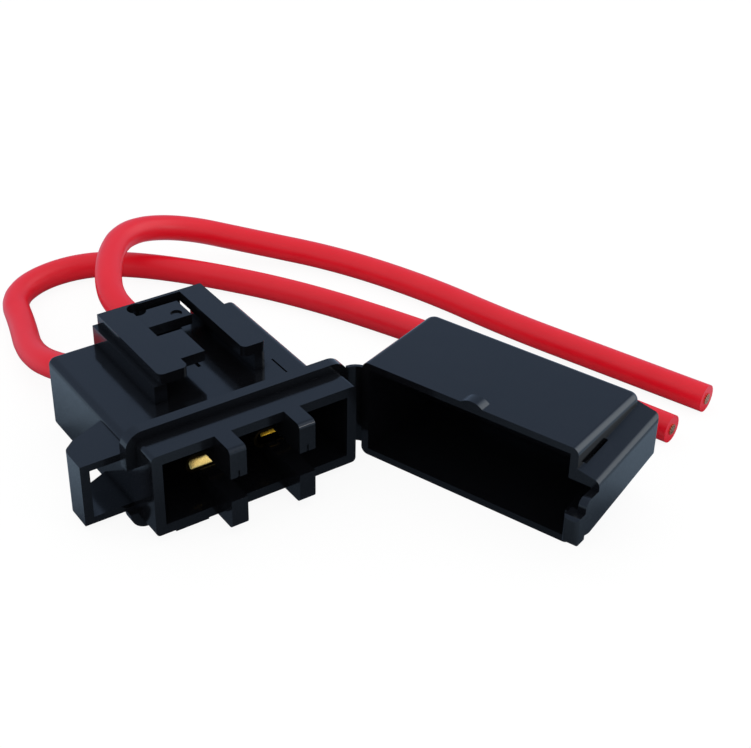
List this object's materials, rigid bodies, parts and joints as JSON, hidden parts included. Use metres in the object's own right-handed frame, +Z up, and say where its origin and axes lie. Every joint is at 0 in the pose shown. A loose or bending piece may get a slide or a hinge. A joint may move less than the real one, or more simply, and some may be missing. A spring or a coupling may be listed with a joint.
{
  "type": "inline fuse holder",
  "caption": "Inline holder for a blade fuse, with a hinged latching cover, a slide-in mounting rail and a pair of red wire leads.",
  "frame": {"origin": "middle of the flange's foot, on the surface that the holder lies on", "axes": "+Z up from the surface; -Y out of the fuse mouth, +Y towards the leads; +X along the flange towards the hinge"},
  "size_m": [0.086, 0.1001, 0.015],
  "materials": {
    "black_nylon": "glossy as moulded",
    "brass": "bright sheet",
    "copper": "bright strands",
    "red_pvc": "semi-gloss"
  },
  "bodies": {
    "holder": {"housing": "black_nylon", "hinge_strap": "black_nylon", "terminal_left": "brass", "terminal_right": "brass", "strands_left": "copper", "strands_right": "copper", "lead_left": "red_pvc", "lead_right": "red_pvc"},
    "cover": {"cover": "black_nylon"}
  },
  "joints": [
    {"name": "cover_hinge", "type": "hinge", "parent": "holder", "child": "cover", "pos_m": [0.01705, -0.00108, 0.0072], "axis": [0, 0, 1], "range_deg": [-109.5, 8], "deforming": ["hinge_strap"]}
  ]
}
